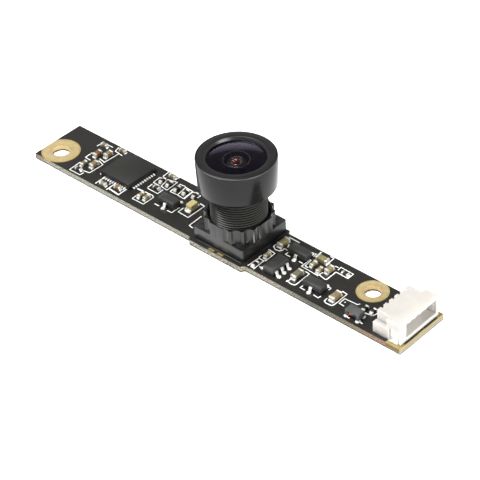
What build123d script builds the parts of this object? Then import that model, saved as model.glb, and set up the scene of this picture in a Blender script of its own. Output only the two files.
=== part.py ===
from build123d import *
from math import sqrt
import os

# A board camera: a screw-in lens in a moulded holder, on a long strip circuit board
# with its controller, power parts and a side-entry cable connector.
# Millimetres. X runs along the board towards the connector, Y across it and Z up.
# The origin is on the underside of the board, at the middle of its length and width.

# Circuit board
board_thickness = 0.8
board_width = 8.0
middle_overhang = 0.5  # how far the middle stands out past the two wings
middle_margin = 0.18  # length of the middle past each side of the lens holder
middle_slant = 0.3  # run of the slanted steps beside the middle
gold_thickness = 0.05

# Lengths along the board, from its left end to its right end
hole_bank_length = 10.1  # left end to the controller
left_bank_length = 12.9  # controller to the lens holder
right_bank_length = 19.8  # lens holder to the connector
connector_margin = 0.35  # connector to the right end

# Mounting holes
left_hole_radius = 1.2
left_land_radius = 2.55
left_hole_inset = 2.2  # from the left end
left_hole_y = -1.5
right_hole_radius = 1.1
right_land_radius = 2.0
right_hole_run = 15.2  # from the lens holder
right_hole_y = 2.0

# Lens holder
holder_side = 8.0
holder_y = 0.2
holder_corner = 0.15
base_height = 1.8
collar_height = 1.9
collar_radius = 4.33
flute_count = 18
flute_radius = 0.7
flute_depth = 0.33
first_flute = 7.0  # degrees
funnel_width = 0.36
funnel_depth = 0.4
cavity_side = 6.6
web_thickness = 0.3
window_radius = 2.3
bead_width = 0.2
bead_height = 0.12

# Lens barrel
thread_radius = 3.5
thread_clearance = 0.03
thread_length = 5.4
focus_gap = 0.6  # holder web to the end of the barrel
head_radius_low = 4.84
head_radius_high = 4.96
head_height = 4.08
rim_bevel = 0.12
bore_radius = 2.92
rear_opening = 2.3
rear_ledge = 0.7

# Glass and rings in the barrel
lens_clearance = 0.02
front_glass_radius = 4.3
front_glass_edge = 0.9
front_glass_clear = 3.6
ring_height = 0.4
ring_wall = 0.15  # barrel rim outside the ring
ring_groove = 0.05  # dark gap between the ring and the rim
ring_mouth = 3.82
rim_setback = 0.02  # ring below the rim
rear_glass_edge = 1.9
second_glass_edge = 1.95
# Curved faces of the lenses: radius, hollow if negative, and clear radius
front_glass_front = (16.0, front_glass_clear)
front_glass_rear = (-1.9, 1.5)
second_glass_front = (5.0, 1.9)
rear_glass_front = (4.2, 2.0)
stop_thickness = 0.15
stop_radius = 0.65
lower_spacer_height = 2.4
spacer_wall = 0.5
baffle_foot = 1.95  # clear of the second lens's dome
baffle_waist = 0.75
baffle_rise = 0.42  # waist above the edge of the second lens
baffle_mouth = 1.6

# Image sensor under the lens
sensor_length = 5.2
sensor_width = 4.6
sensor_height = 0.5
cover_glass_height = 0.35
filter_side = 5.4
filter_thickness = 0.3

# Controller chip
controller_side = 5.0
controller_height = 0.8
controller_y = 0.5
contact_count = 10  # on each side
contact_pitch = 0.4
contact_width = 0.18
contact_length = 0.35
contact_height = 0.12
contact_reveal = 0.04  # how far a contact stands out of the body below the overhang
toe_length = 0.25
thermal_pad_side = 3.4

# Chip capacitors and resistors: length, width, height
small_capacitor = (1.0, 0.5, 0.5)
small_resistor = (1.0, 0.5, 0.35)
medium_capacitor = (1.2, 0.65, 0.65)
large_capacitor = (1.6, 0.8, 0.65)
end_cap_length = 0.25
end_cap_skin = 0.02
solder_foot = 0.14
solder_climb = 0.22

# Small-outline packages
transistor_length = 2.8
transistor_width = 1.3
transistor_height = 1.0
regulator_length = 2.9
regulator_width = 1.6
regulator_height = 1.1
package_standoff = 0.08
package_draft = 7  # degrees
lead_width = 0.4
lead_thickness = 0.13
lead_pitch = 0.95
lead_shoulder = 0.15
lead_slope = 0.12
lead_foot = 0.35

# Indicator lamp
lamp_length = 1.6
lamp_width = 1.0
lamp_height = 0.8
lamp_base_height = 0.25
lamp_lens_length = 1.4
lamp_corner = 0.12
lamp_draft = 5  # degrees
lamp_terminal_length = 0.3

# Common-mode choke
choke_length = 2.0
choke_width = 1.2
choke_height = 1.0
choke_leg = 0.4
choke_lid = 0.22
choke_core_width = 0.56
choke_core_height = 0.3
wire_diameter = 0.12
wire_gap = 0.02
turns_per_winding = 4
choke_terminal_height = 0.1
choke_terminal_width = 0.4

# Cable connector
connector_depth = 3.85
connector_width = 7.0
connector_height = 2.9
connector_ways = 5
connector_pitch = 1.0
mouth_width = 5.6
mouth_shift = 0.35  # mouth towards +Y from the middle of the housing
mouth_floor = 0.45
mouth_roof = 0.38
mouth_depth = 2.7
shoulder_inset = 0.65
shoulder_height = 1.5
shoulder_length = 1.9  # from the rear of the upper body
rear_foot = 0.12  # the low rear foot past the upper body
rear_slot_width = 0.5
rear_slot_depth = 0.26
tab_recess = 0.35
tab_recess_height = 1.75
tab_length = 1.3
tab_setback = 0.35  # tab recess behind the mouth
tab_thickness = 0.15
pin_width = 0.3
pin_thickness = 0.2
pin_height = 1.5
pin_reach = 2.0
tail_length = 0.75
pad_length = 2.1
end_patch_length = 1.2
end_patch_width = 0.12
front_pad_length = 0.9
front_pad_width = 0.34
front_pad_gap = 0.5

# Derived places
board_length = (hole_bank_length + controller_side + left_bank_length + holder_side
                + right_bank_length + connector_depth + connector_margin)
left_end = -board_length / 2
right_end = board_length / 2
board_top = board_thickness
half_width = board_width / 2
middle_half_width = half_width + middle_overhang
controller_x = left_end + hole_bank_length + controller_side / 2
holder_left = controller_x + controller_side / 2 + left_bank_length
lens_x = holder_left + holder_side / 2
holder_right = holder_left + holder_side
connector_rear = holder_right + right_bank_length
connector_front = connector_rear + connector_depth
left_hole_x = left_end + left_hole_inset
right_hole_x = holder_right + right_hole_run
base_top = board_top + base_height
collar_top = base_top + collar_height
barrel_end = base_top + focus_gap
head_bottom = barrel_end + thread_length
rim_top = head_bottom + head_height
ring_outer = head_radius_high - ring_wall - ring_groove
front_glass_top = rim_top - rim_setback - ring_height
front_glass_seat = front_glass_top - front_glass_edge
stack_bottom = barrel_end + rear_ledge
stop_bottom = stack_bottom + rear_glass_edge + lower_spacer_height
second_glass_bottom = stop_bottom + stop_thickness
inner_radius = bore_radius - lens_clearance

# Chip parts on the left bank: name, reference edge, run along X, Y, turn, size.
# The controller's centre and the holder's left face are the two references.
capacitors_by_controller = [
    ("capacitor_01", -6.6, 2.7, 0, small_capacitor),
    ("capacitor_02", -5.87, 0.72, 90, medium_capacitor),
    ("capacitor_03", -4.7, 1.5, 90, medium_capacitor),
    ("capacitor_04", -4.57, -1.2, 90, medium_capacitor),
    ("capacitor_05", -5.85, -1.8, 90, small_capacitor),
    ("capacitor_06", -3.85, 3.3, 0, small_capacitor),
    ("capacitor_07", -0.8, -3.3, 0, small_capacitor),
    ("capacitor_08", 1.2, -2.68, 0, small_capacitor),
]
capacitors_left_of_holder = [
    ("capacitor_09", -10.8, -2.0, 90, small_capacitor),
    ("capacitor_10", -9.9, -1.9, 90, small_capacitor),
    ("capacitor_11", -10.4, 3.35, 0, small_capacitor),
]
capacitors_right_of_holder = [
    ("capacitor_12", 1.4, 2.0, 90, large_capacitor),
    ("capacitor_13", 1.4, -0.95, 90, small_capacitor),
    ("capacitor_14", 7.1, 2.5, 0, large_capacitor),
    ("capacitor_15", 6.77, 1.25, 90, small_capacitor),
    ("capacitor_16", 8.05, 0.85, 90, small_capacitor),
    ("capacitor_17", 8.95, 1.58, 90, medium_capacitor),
    ("capacitor_18", 6.6, -1.5, 90, large_capacitor),
    ("capacitor_19", 12.65, -1.7, 90, large_capacitor),
]
resistors_by_controller = [(-5.6, -2.95, 0)]
resistors_left_of_holder = [
    (-10.87, 2.0, 90), (-9.7, 2.0, 90), (-10.4, 0.4, 0), (-8.25, 1.95, 90), (-6.9, 2.05, 90), (-5.5, 2.3, 90),
]
resistors_right_of_holder = [(1.3, -3.05, 90), (10.8, 2.3, 0)]
resistors_before_connector = [(-3.2, -1.1, 90), (-2.15, -0.9, 90)]  # runs from its rear
lamp_place = (-4.15, 0.3)
left_transistor_place = (-6.95, -0.9)
rear_transistor_place = (4.3, 1.65)
front_transistor_place = (9.57, -1.8)
regulator_place = (3.7, -2.0)
choke_place = (16.4, -2.75)


def block(x0, x1, y0, y1, z0, z1):
    """Box between two corners."""
    return Pos((x0 + x1) / 2, (y0 + y1) / 2, (z0 + z1) / 2) * Box(x1 - x0, y1 - y0, z1 - z0)


def disc(radius, z0, z1):
    """Upright cylinder on the Z axis."""
    return Pos(0, 0, (z0 + z1) / 2) * Cylinder(radius, z1 - z0)


def on_board(x, y, turn=0):
    """Place on the top face of the board, turned about Z."""
    return Pos(x, y, board_top) * Rot(0, 0, turn)


def at_lens(shape):
    """Move a shape from the Z axis to the lens axis."""
    return Pos(lens_x, holder_y, 0) * shape


def board_outline():
    """Two narrow wings and a wider middle with slanted steps."""
    wings = Rectangle(board_length, board_width)
    flat = holder_side / 2 + middle_margin
    step = flat + middle_slant
    middle = Polygon((-step, -half_width), (-flat, -middle_half_width), (flat, -middle_half_width),
                     (step, -half_width), (step, half_width), (flat, middle_half_width),
                     (-flat, middle_half_width), (-step, half_width), align=None)
    return wings + Pos(lens_x, 0) * middle


def hole_plating(x, y, hole_radius, land_radius):
    """Gold barrel of a mounting hole with a land on each face, cut off at the board edge."""
    land = disc(land_radius, 0, gold_thickness)
    tube = disc(hole_radius + gold_thickness, 0, board_thickness)
    upper = Pos(0, 0, board_thickness - gold_thickness) * land
    ring = land + tube + upper - disc(hole_radius, 0, board_thickness)
    return Pos(x, y, 0) * ring & extrude(board_outline(), board_thickness)


def front_pad(x):
    """One exposed gold pad in the strip of board before the lens holder."""
    y0 = holder_y - holder_side / 2 - bead_width - front_pad_width - gold_thickness
    return block(x, x + front_pad_length, y0, y0 + front_pad_width, board_top - gold_thickness, board_top)


def ground_pads():
    """Gold round the connector end of the board and two pads before the lens holder."""
    pad_start = right_end - pad_length
    band = block(pad_start, right_end, -half_width, half_width, 0, board_top)
    inside = block(pad_start, right_end - gold_thickness, gold_thickness - half_width,
                   half_width - gold_thickness, 0, board_top)
    patch = block(right_end - end_patch_width, right_end, -end_patch_length / 2, end_patch_length / 2,
                  board_top - gold_thickness, board_top)
    pads = band - inside + patch
    for side in (-1, 1):
        inner = side * (connector_width / 2 - tab_recess - tab_thickness)
        low, high = sorted((inner, side * half_width))
        pads += block(pad_start, right_end, low, high, board_top - gold_thickness, board_top)
    first = lens_x - front_pad_gap / 2 - front_pad_length
    return Compound(children=[pads, front_pad(first), front_pad(first + front_pad_length + front_pad_gap)])


def circuit_board(gold):
    """Laminate, with the gold let in flush and both mounting holes drilled."""
    board = extrude(board_outline(), board_thickness)
    for x, y, radius in ((left_hole_x, left_hole_y, left_hole_radius),
                         (right_hole_x, right_hole_y, right_hole_radius)):
        board -= Pos(x, y, 0) * disc(radius, 0, board_thickness)
    for piece in gold:
        board -= piece
    return board


def chip(x, y, turn, size):
    """Ceramic body, its two metal end caps and the solder at both ends."""
    length, width, height = size
    place = on_board(x, y, turn)
    body = Pos(0, 0, height / 2) * Box(length - 2 * end_cap_length, width - 2 * end_cap_skin,
                                      height - 2 * end_cap_skin)
    caps = []
    solder = []
    wedge = extrude(Plane.XZ * Polygon((0, 0), (solder_foot, 0), (0, solder_climb), align=None),
                    width / 2, both=True)
    for end in (0, 180):
        cap = block(length / 2 - end_cap_length, length / 2, -width / 2, width / 2, 0, height)
        caps.append(place * Rot(0, 0, end) * cap)
        solder.append(place * Rot(0, 0, end) * Pos(length / 2, 0, 0) * wedge)
    return place * body, caps, solder


def moulded_package(length, width, height):
    """Plastic body with drafted sides that meet at the level of the leads."""
    rise = (height - package_standoff) / 2
    half = extrude(Rectangle(length, width), rise, taper=package_draft)
    return Pos(0, 0, package_standoff + rise) * (half + Rot(180, 0, 0) * half)


def gull_wing(body_width, height):
    """One bent lead on the +Y side of a package."""
    level = package_standoff + (height - package_standoff) / 2
    low = lead_thickness / 2
    reach = lead_shoulder + lead_slope
    path = Polyline((0, level), (lead_shoulder, level), (reach, low), (reach + lead_foot, low))
    lead = extrude(Plane.XZ * trace(path, lead_thickness), lead_width / 2, both=True)
    return Pos(0, body_width / 2, 0) * Rot(0, 0, 90) * lead


def lead_solder(body_width):
    """Solder at the toe of one lead on the +Y side."""
    toe = body_width / 2 + lead_shoulder + lead_slope + lead_foot
    wedge = extrude(Plane.XZ * Polygon((0, 0), (solder_foot, 0), (0, lead_thickness), align=None),
                    lead_width / 2, both=True)
    return Pos(0, toe, 0) * Rot(0, 0, 90) * wedge


def small_outline(x, y, turn, size, front, rear):
    """Package with leads at the given steps along its front (-Y) and rear (+Y) sides."""
    length, width, height = size
    place = on_board(x, y, turn)
    leads = []
    solder = []
    for side, steps in ((180, front), (0, rear)):
        for step in steps:
            spot = place * Rot(0, 0, side) * Pos(step * lead_pitch, 0, 0)
            leads.append(spot * gull_wing(width, height))
            solder.append(spot * lead_solder(width))
    return place * moulded_package(length, width, height), leads, solder


def controller():
    """Leadless square chip, its contacts with a thermal pad, and the solder toes."""
    half = controller_side / 2
    place = on_board(controller_x, controller_y)
    core_half = half - contact_reveal
    body = block(-half, half, -half, half, contact_height, controller_height)
    body += block(-core_half, core_half, -core_half, core_half, package_standoff, contact_height)
    pad_half = thermal_pad_side / 2
    contacts = [block(-pad_half, pad_half, -pad_half, pad_half, 0, package_standoff)]
    toes = []
    toe = extrude(Plane.XZ * Polygon((0, 0), (toe_length, 0), (0, contact_height), align=None),
                  contact_width / 2, both=True)
    first = -(contact_count - 1) * contact_pitch / 2
    for side in range(4):
        for index in range(contact_count):
            spot = Rot(0, 0, 90 * side) * Pos(half, first + index * contact_pitch, 0)
            contacts.append(spot * block(-contact_length, 0, -contact_width / 2, contact_width / 2,
                                         0, contact_height))
            toes.append(place * spot * toe)
    for contact in contacts:
        body -= contact
    return place * body, [place * contact for contact in contacts], toes


def lamp():
    """Indicator lamp: moulded lens on a base, with a metal terminal at each end."""
    place = on_board(holder_left + lamp_place[0], lamp_place[1], 90)
    base = block(-lamp_length / 2, lamp_length / 2, -lamp_width / 2, lamp_width / 2, 0, lamp_base_height)
    lens = extrude(Rectangle(lamp_lens_length, lamp_width), lamp_height - lamp_base_height, taper=lamp_draft)
    lens = Pos(0, 0, lamp_base_height) * chamfer(lens.edges().group_by(Axis.Z)[1], lamp_corner)
    terminals = []
    solder = []
    wedge = extrude(Plane.XZ * Polygon((0, 0), (solder_foot, 0), (0, lamp_base_height), align=None),
                    lamp_width / 2, both=True)
    for end in (0, 180):
        terminal = block(lamp_length / 2 - lamp_terminal_length, lamp_length / 2,
                         -lamp_width / 2, lamp_width / 2, 0, lamp_base_height)
        inner = block(0, lamp_length / 2 - end_cap_skin, -lamp_width, lamp_width,
                      end_cap_skin, lamp_base_height - end_cap_skin)
        terminal -= inner
        terminals.append(Rot(0, 0, end) * terminal)
        solder.append(place * Rot(0, 0, end) * Pos(lamp_length / 2, 0, 0) * wedge)
    body = base + lens
    for terminal in terminals:
        body -= terminal
    return place * body, [place * terminal for terminal in terminals], solder


def choke():
    """Ferrite choke: a core with two legs and a lid, two windings and four terminals."""
    place = on_board(holder_right + choke_place[0], choke_place[1])
    half = choke_length / 2
    side = choke_width / 2
    foot = choke_terminal_height
    lid = block(-half, half, -side, side, choke_height - choke_lid, choke_height)
    core_top = choke_height - choke_lid - wire_diameter - wire_gap
    core = lid + block(-half, half, -choke_core_width / 2, choke_core_width / 2,
                       core_top - choke_core_height, core_top)
    terminals = []
    solder = []
    wedge = extrude(Plane.XZ * Polygon((0, 0), (solder_foot, 0), (0, foot), align=None),
                    choke_terminal_width / 2, both=True)
    for end in (0, 180):
        core += Rot(0, 0, end) * block(half - choke_leg, half, -side, side, foot, choke_height)
        for edge in (-1, 1):
            y = edge * (side - choke_terminal_width / 2)
            tab = block(half - choke_leg, half, y - choke_terminal_width / 2, y + choke_terminal_width / 2,
                        0, foot)
            terminals.append(place * Rot(0, 0, end) * tab)
            solder.append(place * Rot(0, 0, end) * Pos(half, y, 0) * wedge)
    inner = Rectangle(choke_core_width + 2 * wire_gap, choke_core_height + 2 * wire_gap)
    outer = Rectangle(choke_core_width + 2 * wire_gap + 2 * wire_diameter,
                      choke_core_height + 2 * wire_gap + 2 * wire_diameter)
    turn = chamfer(outer.vertices(), wire_diameter / 2) - inner
    turn = extrude(Plane.YZ * turn, wire_diameter / 2, both=True)
    windings = []
    step = wire_diameter + wire_gap
    for start in (-turns_per_winding, 0):
        windings.append([place * Pos((start + index + 0.5) * step, 0, core_top - choke_core_height / 2) * turn
                         for index in range(turns_per_winding)])
    return place * core, windings, terminals, solder


def connector_housing():
    """Side-entry housing: open mouth on +X, rear slots for the pins and a recess for each tab."""
    half = connector_width / 2
    body = block(connector_rear, connector_front, -half, half, 0, connector_height)
    for side in (-1, 1):
        low, high = sorted((side * half, side * (half - shoulder_inset)))
        body -= block(connector_rear, connector_rear + shoulder_length, low, high,
                      shoulder_height, connector_height)
        low, high = sorted((side * half, side * (half - tab_recess)))
        recess_end = connector_front - tab_setback
        body -= block(recess_end - tab_length, recess_end, low, high, 0, tab_recess_height)
        low, high = sorted((side * half, side * (half - shoulder_inset)))
        body += block(connector_rear - rear_foot, connector_rear, low, high, 0, shoulder_height)
    body -= block(connector_front - mouth_depth, connector_front, mouth_shift - mouth_width / 2,
                  mouth_shift + mouth_width / 2, mouth_floor, connector_height - mouth_roof)
    for y in pin_rows():
        body -= block(connector_rear, connector_rear + rear_slot_depth, y - rear_slot_width / 2,
                      y + rear_slot_width / 2, 0, connector_height)
    housing = Pos(0, 0, board_top) * body
    for pin in connector_pins():
        housing -= pin
    return housing


def pin_rows():
    """Y of each connector way."""
    first = -(connector_ways - 1) * connector_pitch / 2
    return [first + index * connector_pitch for index in range(connector_ways)]


def connector_pins():
    """Bent pins: blade in the mouth, drop in the rear slot and a tail on the board."""
    mid = pin_thickness / 2
    drop = connector_rear + rear_slot_depth / 2
    tip = connector_front - mouth_depth + pin_reach
    tail = connector_rear - tail_length
    path = Polyline((tip, pin_height), (drop, pin_height), (drop, mid), (tail, mid))
    pin = extrude(Plane.XZ * trace(path, pin_thickness), pin_width / 2, both=True)
    return [Pos(0, y, board_top) * pin for y in pin_rows()]


def connector_tabs():
    """Metal tab in each side recess, with a foot soldered to the corner pad."""
    tabs = []
    recess_end = connector_front - tab_setback
    wall = connector_width / 2 - tab_recess
    for side in (-1, 1):
        low, high = sorted((side * wall, side * (wall + tab_thickness)))
        plate = block(recess_end - tab_length, recess_end, low, high, 0, tab_recess_height)
        low, high = sorted((side * wall, side * (connector_width / 2 + tab_thickness)))
        plate += block(recess_end - tab_length, recess_end, low, high, 0, tab_thickness)
        tabs.append(Pos(0, 0, board_top) * plate)
    return tabs


def holder_outline(margin):
    """Square foot of the holder with its corners cut, grown by a margin."""
    square = Rectangle(holder_side + 2 * margin, holder_side + 2 * margin)
    return chamfer(square.vertices(), holder_corner + margin)


def lens_holder():
    """Moulded holder: square base, fluted collar, threaded bore and a cavity for the sensor."""
    square = holder_outline(0)
    base = Pos(0, 0, board_top) * extrude(square, base_height)
    flutes = PolarLocations(collar_radius - flute_depth + flute_radius, flute_count, first_flute)
    fluted = Circle(collar_radius) - flutes * Circle(flute_radius)
    collar = Pos(0, 0, base_top) * extrude(fluted & square, collar_height)
    bore = thread_radius + thread_clearance
    cavity_top = base_top - web_thickness
    holder = base + collar
    holder -= disc(bore, base_top, collar_top)
    holder -= disc(window_radius, cavity_top, base_top)
    holder -= block(-cavity_side / 2, cavity_side / 2, -cavity_side / 2, cavity_side / 2,
                    board_top, cavity_top)
    holder -= Pos(0, 0, collar_top - funnel_depth / 2) * Cone(bore, bore + funnel_width, funnel_depth)
    return at_lens(holder)


def adhesive_bead():
    """Bead of adhesive round the foot of the holder."""
    ring = holder_outline(bead_width) - holder_outline(0)
    return at_lens(Pos(0, 0, board_top) * extrude(ring, bead_height))


def image_sensor():
    """Chip-scale sensor on the board under the lens."""
    return at_lens(Pos(0, 0, board_top + sensor_height / 2) * Box(sensor_length, sensor_width, sensor_height))


def sensor_cover_glass():
    """Window bonded on the sensor."""
    level = board_top + sensor_height + cover_glass_height / 2
    return at_lens(Pos(0, 0, level) * Box(sensor_length, sensor_width, cover_glass_height))


def infrared_filter():
    """Filter plate bonded under the holder web."""
    level = base_top - web_thickness - filter_thickness / 2
    return at_lens(Pos(0, 0, level) * Box(filter_side, filter_side, filter_thickness))


def lens_barrel():
    """Black metal barrel, turned in one: threaded body, larger head and stepped bore for the glass."""
    front_bore = front_glass_radius + lens_clearance
    outline = [
        (rear_opening, barrel_end), (thread_radius, barrel_end), (thread_radius, head_bottom),
        (head_radius_low, head_bottom), (head_radius_high, rim_top - rim_bevel),
        (head_radius_high - rim_bevel, rim_top), (ring_outer + ring_groove, rim_top),
        (ring_outer + ring_groove, front_glass_top), (front_bore, front_glass_top),
        (front_bore, front_glass_seat), (bore_radius, front_glass_seat), (bore_radius, stack_bottom),
        (rear_opening, stack_bottom),
    ]
    return at_lens(revolve(Plane.XZ * Polygon(*outline, align=None), Axis.Z))


def front_retaining_ring():
    """Ring screwed into the rim over the edge of the front lens, with a flared mouth."""
    ring = disc(ring_outer, front_glass_top, front_glass_top + ring_height)
    mouth = Pos(0, 0, front_glass_top + ring_height / 2) * Cone(front_glass_clear, ring_mouth, ring_height)
    return at_lens(ring - mouth)


def curved_face(glass, level, facing, radius, clear):
    """Grind one face: a positive radius bulges out, a negative one is hollow."""
    depth = sqrt(radius ** 2 - clear ** 2)
    if radius < 0:
        return glass - Pos(0, 0, level + facing * depth) * Sphere(-radius)
    dome = Pos(0, 0, level - facing * depth) * Sphere(radius)
    top = level + facing * radius
    return glass + (dome & disc(clear, min(level, top), max(level, top)))


def lens_element(radius, bottom, edge, front, rear=None):
    """Glass disc with a spherical front face and a spherical or flat rear face."""
    glass = disc(radius, bottom, bottom + edge)
    glass = curved_face(glass, bottom + edge, 1, *front)
    if rear:
        glass = curved_face(glass, bottom, -1, *rear)
    return at_lens(glass)


def spacer(bottom, top, *opening):
    """Black ring between two lenses; its opening is a list of radii and levels from the bottom up."""
    section = Polygon((inner_radius, bottom), (inner_radius, top), *reversed(opening), align=None)
    return at_lens(revolve(Plane.XZ * section, Axis.Z))


def write(name, shapes):
    """Write one node: a single shape or a group of separate solids."""
    if isinstance(shapes, list):
        shapes = Compound(children=[solid for shape in shapes for solid in shape.solids()])
    export_step(shapes, "parts/" + name + ".step")


def write_board():
    """Circuit board and the gold on it."""
    left_plating = hole_plating(left_hole_x, left_hole_y, left_hole_radius, left_land_radius)
    right_plating = hole_plating(right_hole_x, right_hole_y, right_hole_radius, right_land_radius)
    pads = ground_pads()
    write("board_hole_plating_left", left_plating)
    write("board_hole_plating_right", right_plating)
    write("ground_pads", pads)
    write("circuit_board", circuit_board([left_plating, right_plating, pads]))


def write_chips():
    """Capacitors one by one, resistors as a group, and what solders them; returns the solder."""
    caps = []
    solder = []
    for reference, table in ((controller_x, capacitors_by_controller),
                             (holder_left, capacitors_left_of_holder),
                             (holder_right, capacitors_right_of_holder)):
        for name, run, y, turn, size in table:
            body, ends, joints = chip(reference + run, y, turn, size)
            write(name, body)
            caps += ends
            solder += joints
    resistors = []
    for reference, table in ((controller_x, resistors_by_controller),
                             (holder_left, resistors_left_of_holder),
                             (holder_right, resistors_right_of_holder),
                             (connector_rear, resistors_before_connector)):
        for run, y, turn in table:
            body, ends, joints = chip(reference + run, y, turn, small_resistor)
            resistors.append(body)
            caps += ends
            solder += joints
    write("resistor_bodies", resistors)
    write("chip_end_caps", caps)
    return solder


def write_packages():
    """Controller, transistors, regulator, lamp and choke; returns their solder."""
    body, contacts, solder = controller()
    write("controller_body", body)
    write("controller_contacts", contacts)
    transistor = (transistor_length, transistor_width, transistor_height)
    regulator = (regulator_length, regulator_width, regulator_height)
    packages = [
        ("left_transistor", holder_left, left_transistor_place, 0, transistor, (0,), (-1, 1)),
        ("rear_transistor", holder_right, rear_transistor_place, 0, transistor, (0,), (-1, 1)),
        ("front_transistor", holder_right, front_transistor_place, 0, transistor, (0,), (-1, 1)),
        ("regulator", holder_right, regulator_place, -90, regulator, (-1, 1), (-1, 0, 1)),
    ]
    for name, reference, place, turn, size, front, rear in packages:
        body, leads, joints = small_outline(reference + place[0], place[1], turn, size, front, rear)
        write(name + "_body", body)
        write(name + "_leads", leads)
        solder += joints
    body, terminals, joints = lamp()
    write("lamp_body", body)
    write("lamp_terminals", terminals)
    solder += joints
    core, windings, terminals, joints = choke()
    write("choke_core", core)
    write("choke_winding_a", windings[0])
    write("choke_winding_b", windings[1])
    write("choke_terminals", terminals)
    return solder + joints


def write_lens():
    """Holder, barrel and all that they carry."""
    write("lens_holder", lens_holder())
    write("holder_adhesive", adhesive_bead())
    write("image_sensor", image_sensor())
    write("sensor_cover_glass", sensor_cover_glass())
    write("infrared_filter", infrared_filter())
    write("lens_barrel", lens_barrel())
    write("front_retaining_ring", front_retaining_ring())
    write("front_lens", lens_element(front_glass_radius, front_glass_seat, front_glass_edge,
                                     front_glass_front, front_glass_rear))
    write("second_lens", lens_element(inner_radius, second_glass_bottom, second_glass_edge,
                                      second_glass_front))
    write("rear_lens", lens_element(inner_radius, stack_bottom, rear_glass_edge, rear_glass_front))
    write("aperture_stop", at_lens(disc(inner_radius, stop_bottom, stop_bottom + stop_thickness)
                                   - disc(stop_radius, stop_bottom, stop_bottom + stop_thickness)))
    tube_bottom = stack_bottom + rear_glass_edge
    baffle_bottom = second_glass_bottom + second_glass_edge
    opening = inner_radius - spacer_wall
    write("lens_spacers", [
        spacer(tube_bottom, stop_bottom, (opening, tube_bottom), (opening, stop_bottom)),
        spacer(baffle_bottom, front_glass_seat, (baffle_foot, baffle_bottom),
               (baffle_waist, baffle_bottom + baffle_rise), (baffle_mouth, front_glass_seat)),
    ])


os.makedirs("parts", exist_ok=True)
write_board()
solder_joints = write_chips() + write_packages()
write("solder_joints", solder_joints)
write("connector_housing", connector_housing())
write("connector_pins", connector_pins())
write("connector_tabs", connector_tabs())
write_lens()
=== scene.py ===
import math

import bpy
from mathutils import Matrix, Vector


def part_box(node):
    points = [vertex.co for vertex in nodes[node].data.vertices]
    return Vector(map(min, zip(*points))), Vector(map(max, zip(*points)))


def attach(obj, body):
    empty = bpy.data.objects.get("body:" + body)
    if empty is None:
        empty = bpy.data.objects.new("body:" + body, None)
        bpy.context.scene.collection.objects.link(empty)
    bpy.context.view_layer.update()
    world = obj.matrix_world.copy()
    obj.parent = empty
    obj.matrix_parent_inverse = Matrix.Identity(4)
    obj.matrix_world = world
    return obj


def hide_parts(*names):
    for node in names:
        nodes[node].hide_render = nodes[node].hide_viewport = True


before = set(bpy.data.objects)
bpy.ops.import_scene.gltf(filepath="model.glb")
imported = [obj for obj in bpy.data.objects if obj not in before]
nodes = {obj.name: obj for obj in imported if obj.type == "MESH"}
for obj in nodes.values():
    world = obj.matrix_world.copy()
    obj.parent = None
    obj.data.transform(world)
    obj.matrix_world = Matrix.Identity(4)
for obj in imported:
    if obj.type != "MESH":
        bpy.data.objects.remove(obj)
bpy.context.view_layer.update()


# Circuit board: glass-cloth laminate routed to its outline, with a satin black solder mask
# printed over the copper on both faces. The routed edge shows the bare laminate between the
# masks: cloudy grey-beige for most of the length, olive and then brown at the connector end.
# The dark band at the foot of the edge is mask, widened into painted shade where the board
# meets the floor.

MM = 0.001


def seen(red, green, blue):
    """A colour as a screen shows it, 0 to 255, turned into light."""
    light = [((part / 255 + 0.055) / 1.055) ** 2.4 if part > 10 else part / 3294.6
             for part in (red, green, blue)]
    return (*light, 1.0)


BLACK = seen(0, 0, 0)
WHITE = seen(255, 255, 255)


def feed(finish, socket, value):
    """Set a socket, or plug another node's output into it."""
    if isinstance(value, bpy.types.NodeSocket):
        finish.node_tree.links.new(value, socket)
    else:
        socket.default_value = value


def new_finish(name, **sockets):
    """A finish and its main shader, with the shader's own sockets set."""
    finish = bpy.data.materials.new(name)
    finish.use_nodes = True
    shader = finish.node_tree.nodes["Principled BSDF"]
    for socket, value in sockets.items():
        feed(finish, shader.inputs[socket.replace("_", " ")], value)
    return finish, shader


def add_node(finish, kind, sockets=(), **settings):
    """One node of a finish, with its settings and the values of its sockets."""
    node = finish.node_tree.nodes.new("ShaderNode" + kind)
    for name, value in settings.items():
        setattr(node, name, value)
    for name, value in dict(sockets).items():
        feed(finish, node.inputs[name], value)
    return node


def on_piece(finish, scale=(1, 1, 1), centre=(0, 0, 0)):
    """Place on the piece in millimetres from a centre, times a scale."""
    place = add_node(finish, "TexCoord")
    spread = add_node(finish, "Mapping", {"Vector": place.outputs["Object"]})
    spread.inputs["Location"].default_value = [-c * s for c, s in zip(centre, scale)]
    spread.inputs["Scale"].default_value = [s / MM for s in scale]
    return spread.outputs["Vector"]


def cloud(finish, place, size, detail=3.0, roughness=0.5):
    """Soft noise with lumps of about a size in millimetres."""
    return add_node(finish, "TexNoise", {"Vector": place, "Scale": 1 / size, "Detail": detail,
                                        "Roughness": roughness}).outputs["Fac"]


def shade(finish, factor, stops, steps="LINEAR"):
    """Colours along a factor, each stop a place and a colour."""
    band = add_node(finish, "ValToRGB", {"Fac": factor})
    band.color_ramp.interpolation = steps
    marks = band.color_ramp.elements
    while len(marks) < len(stops):
        marks.new(1.0)
    for mark, (place, colour) in zip(marks, stops):
        mark.position = place
        mark.color = colour
    return band.outputs["Color"]


def mottle(finish, place, lump, low, high, detail=3.0, span=(0.3, 0.7)):
    """Two near tones in soft noise, its lumps of about a size in millimetres."""
    return shade(finish, cloud(finish, place, lump, detail), [(span[0], low), (span[1], high)])


def blend(finish, factor, below, above, how="MIX"):
    """Mix two colours by a factor."""
    mix = add_node(finish, "MixRGB", {"Fac": factor, "Color1": below, "Color2": above}, blend_type=how)
    return mix.outputs["Color"]


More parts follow.
